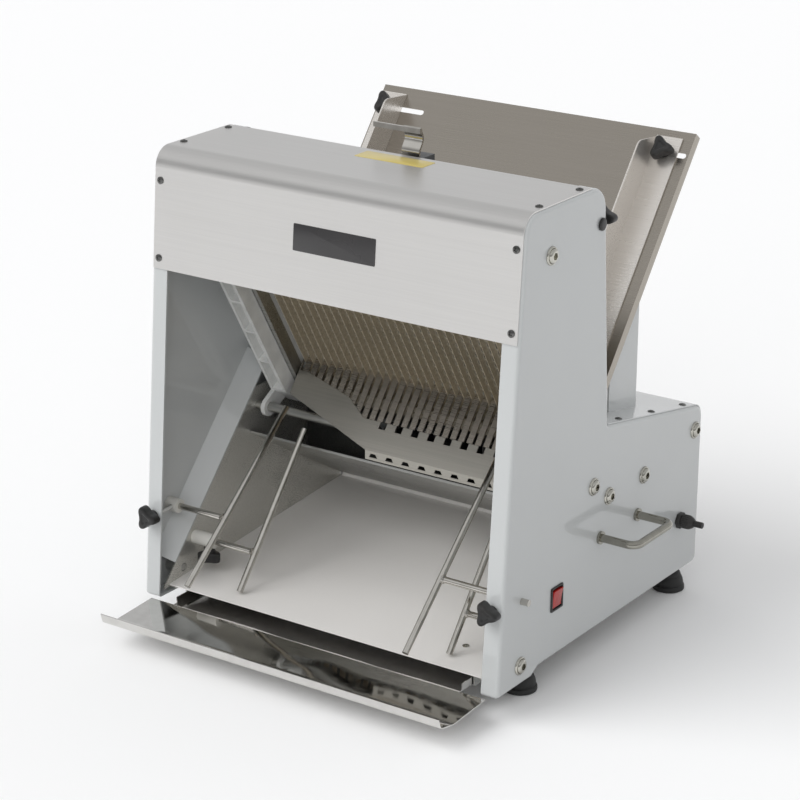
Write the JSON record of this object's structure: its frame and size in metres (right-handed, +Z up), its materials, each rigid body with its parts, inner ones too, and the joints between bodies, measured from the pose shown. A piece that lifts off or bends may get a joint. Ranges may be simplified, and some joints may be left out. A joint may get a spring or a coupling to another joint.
{
  "type": "bread slicer",
  "caption": "Countertop bread slicer: sloping infeed chute, two counter-moving blade frames, outlet with adjustable guide rods, crumb tray drawer and rocker switch.",
  "frame": {"origin": "on the floor under the middle of the object's outer box", "axes": "+X to the right seen from the outlet, +Y from the outlet to the infeed, +Z up"},
  "size_m": [0.628, 0.5881, 0.6252],
  "materials": {
    "white_paint": "gloss",
    "grey_cover": "satin",
    "cream_paint": "satin",
    "casting": "satin",
    "stainless": "brushed",
    "polished": "polished",
    "blade_steel": "polished",
    "bright_bolt": "polished",
    "steel": "satin",
    "dark_metal": "satin",
    "black_plastic": "satin",
    "black_rubber": "matte",
    "nylon": "satin",
    "red_plastic": "gloss"
  },
  "bodies": {
    "machine": {"side_panel_left": "white_paint", "side_panel_right": "white_paint", "top_front_cover": "grey_cover", "rear_cover": "white_paint", "cover_screws": "bright_bolt", "panel_bolts": "bright_bolt", "bolt_spacers": "steel", "cross_bar": "steel", "base_rails": "steel", "inner_side_plates": "stainless", "closing_strips": "white_paint", "outlet_plate": "cream_paint", "slotted_table": "polished", "discharge_plate": "cream_paint", "blade_guide_left": "casting", "blade_guide_right": "casting", "crank_bearings": "dark_metal", "drive_belt": "black_rubber", "motor": "dark_metal", "drive_cradle": "steel", "infeed_chute": "stainless", "chute_brackets": "white_paint", "rod_bushes": "nylon", "switch_frame": "black_plastic", "cable_gland": "black_plastic", "carrying_handles": "polished", "feet": "black_rubber"},
    "front_blade_frame": {"front_frame_upper_bar": "steel", "front_frame_lower_bar": "steel", "front_frame_side_bars": "steel", "front_blades": "blade_steel"},
    "rear_blade_frame": {"rear_frame_upper_bar": "steel", "rear_frame_lower_bar": "steel", "rear_frame_side_bars": "steel", "rear_blades": "blade_steel"},
    "front_link": {"front_connecting_rod": "steel"},
    "rear_link": {"rear_connecting_rod": "steel"},
    "crank": {"crankshaft": "steel", "crank_pulley": "dark_metal"},
    "motor_rotor": {"motor_pulley": "dark_metal"},
    "tray": {"front_tray": "polished"},
    "left_guide": {"infeed_guide_left": "stainless"},
    "right_guide": {"infeed_guide_right": "stainless"},
    "left_guide_knob": {"infeed_knob_left": "black_plastic"},
    "right_guide_knob": {"infeed_knob_right": "black_plastic"},
    "press": {"press_rod": "steel", "press_block": "dark_metal"},
    "press_slider": {"press_strip": "stainless"},
    "press_slider_knob": {"press_knob": "black_plastic"},
    "press_clamp_knob": {"press_rod_knob": "black_plastic"},
    "outlet_front_left": {"front_left_rod": "stainless"},
    "outlet_front_right": {"front_right_rod": "stainless"},
    "outlet_rear_left": {"rear_left_rod": "stainless"},
    "outlet_rear_right": {"rear_right_rod": "stainless"},
    "outlet_front_left_knob": {"front_left_knob": "black_plastic"},
    "outlet_front_right_knob": {"front_right_knob": "black_plastic"},
    "outlet_rear_left_knob": {"rear_left_knob": "black_plastic"},
    "outlet_rear_right_knob": {"rear_right_knob": "black_plastic"},
    "rocker": {"switch_rocker": "red_plastic"}
  },
  "joints": [
    {"name": "front_blade_slide", "type": "slide", "parent": "machine", "child": "front_blade_frame", "axis": [0, -0.515, 0.8572], "range_m": [-0.012, 0.012]},
    {"name": "rear_blade_slide", "type": "slide", "parent": "machine", "child": "rear_blade_frame", "axis": [0, -0.515, 0.8572], "range_m": [-0.012, 0.012]},
    {"name": "front_link_swing", "type": "hinge", "parent": "front_blade_frame", "child": "front_link", "pos_m": [-0.114, 0.07224, 0.21731], "axis": [1, 0, 0], "range_deg": [0, 21.5]},
    {"name": "rear_link_swing", "type": "hinge", "parent": "rear_blade_frame", "child": "rear_link", "pos_m": [0.114, 0.10139, 0.23483], "axis": [1, 0, 0], "range_deg": [-21.5, 0]},
    {"name": "crank_spin", "type": "hinge", "parent": "machine", "child": "crank", "pos_m": [0, 0.1208, 0.1695], "axis": [1, 0, 0], "continuous": true},
    {"name": "motor_spin", "type": "hinge", "parent": "machine", "child": "motor_rotor", "pos_m": [0, 0.222, 0.15], "axis": [1, 0, 0], "continuous": true},
    {"name": "tray_slide", "type": "slide", "parent": "machine", "child": "tray", "axis": [0, -1, 0], "range_m": [0, 0.2]},
    {"name": "left_guide_slide", "type": "slide", "parent": "machine", "child": "left_guide", "axis": [1, 0, 0], "range_m": [-0.003, 0.049]},
    {"name": "right_guide_slide", "type": "slide", "parent": "machine", "child": "right_guide", "axis": [1, 0, 0], "range_m": [-0.038, 0.014]},
    {"name": "left_guide_knob_turn", "type": "hinge", "parent": "left_guide", "child": "left_guide_knob", "pos_m": [-0.21, 0.2636, 0.5683], "axis": [0, -0.788, 0.6157], "continuous": true},
    {"name": "right_guide_knob_turn", "type": "hinge", "parent": "right_guide", "child": "right_guide_knob", "pos_m": [0.199, 0.2636, 0.5683], "axis": [0, -0.788, 0.6157], "continuous": true},
    {"name": "press_turn", "type": "hinge", "parent": "machine", "child": "press", "pos_m": [0, 0.0089, 0.547], "axis": [1, 0, 0], "range_deg": [-8, 8]},
    {"name": "press_strip_slide", "type": "slide", "parent": "press", "child": "press_slider", "axis": [0, 0, 1], "range_m": [-0.006, 0.018]},
    {"name": "press_knob_turn", "type": "hinge", "parent": "press", "child": "press_slider_knob", "pos_m": [0.005, 0.024, 0.567], "axis": [0, 1, 0], "continuous": true},
    {"name": "press_rod_knob_turn", "type": "hinge", "parent": "machine", "child": "press_clamp_knob", "pos_m": [0.24725, 0.023, 0.547], "axis": [0, 1, 0], "continuous": true},
    {"name": "outlet_front_left_slide", "type": "slide", "parent": "machine", "child": "outlet_front_left", "axis": [1, 0, 0], "range_m": [-0.05, 0.008]},
    {"name": "outlet_front_right_slide", "type": "slide", "parent": "machine", "child": "outlet_front_right", "axis": [1, 0, 0], "range_m": [-0.008, 0.07]},
    {"name": "outlet_rear_left_slide", "type": "slide", "parent": "machine", "child": "outlet_rear_left", "axis": [1, 0, 0], "range_m": [-0.01, 0.02]},
    {"name": "outlet_rear_right_slide", "type": "slide", "parent": "machine", "child": "outlet_rear_right", "axis": [1, 0, 0], "range_m": [-0.02, 0.01]},
    {"name": "outlet_front_left_knob_turn", "type": "hinge", "parent": "machine", "child": "outlet_front_left_knob", "pos_m": [-0.24725, -0.18749, 0.137], "axis": [0, -1, 0], "continuous": true},
    {"name": "outlet_rear_left_knob_turn", "type": "hinge", "parent": "machine", "child": "outlet_rear_left_knob", "pos_m": [-0.213, -0.1228, 0.08], "axis": [0, 0, -1], "continuous": true},
    {"name": "outlet_front_right_knob_turn", "type": "hinge", "parent": "machine", "child": "outlet_front_right_knob", "pos_m": [0.24725, -0.18749, 0.137], "axis": [0, -1, 0], "continuous": true},
    {"name": "outlet_rear_right_knob_turn", "type": "hinge", "parent": "machine", "child": "outlet_rear_right_knob", "pos_m": [0.213, -0.1228, 0.08], "axis": [0, 0, -1], "continuous": true},
    {"name": "rocker_tilt", "type": "hinge", "parent": "machine", "child": "rocker", "pos_m": [0.2585, -0.069, 0.1138], "axis": [0, 1, 0], "range_deg": [-15, 0]}
  ],
  "couplings": [
    {"joint": "rear_blade_slide", "follows": "front_blade_slide", "ratio": -1},
    {"joint": "motor_spin", "follows": "crank_spin", "ratio": 2.1111}
  ]
}
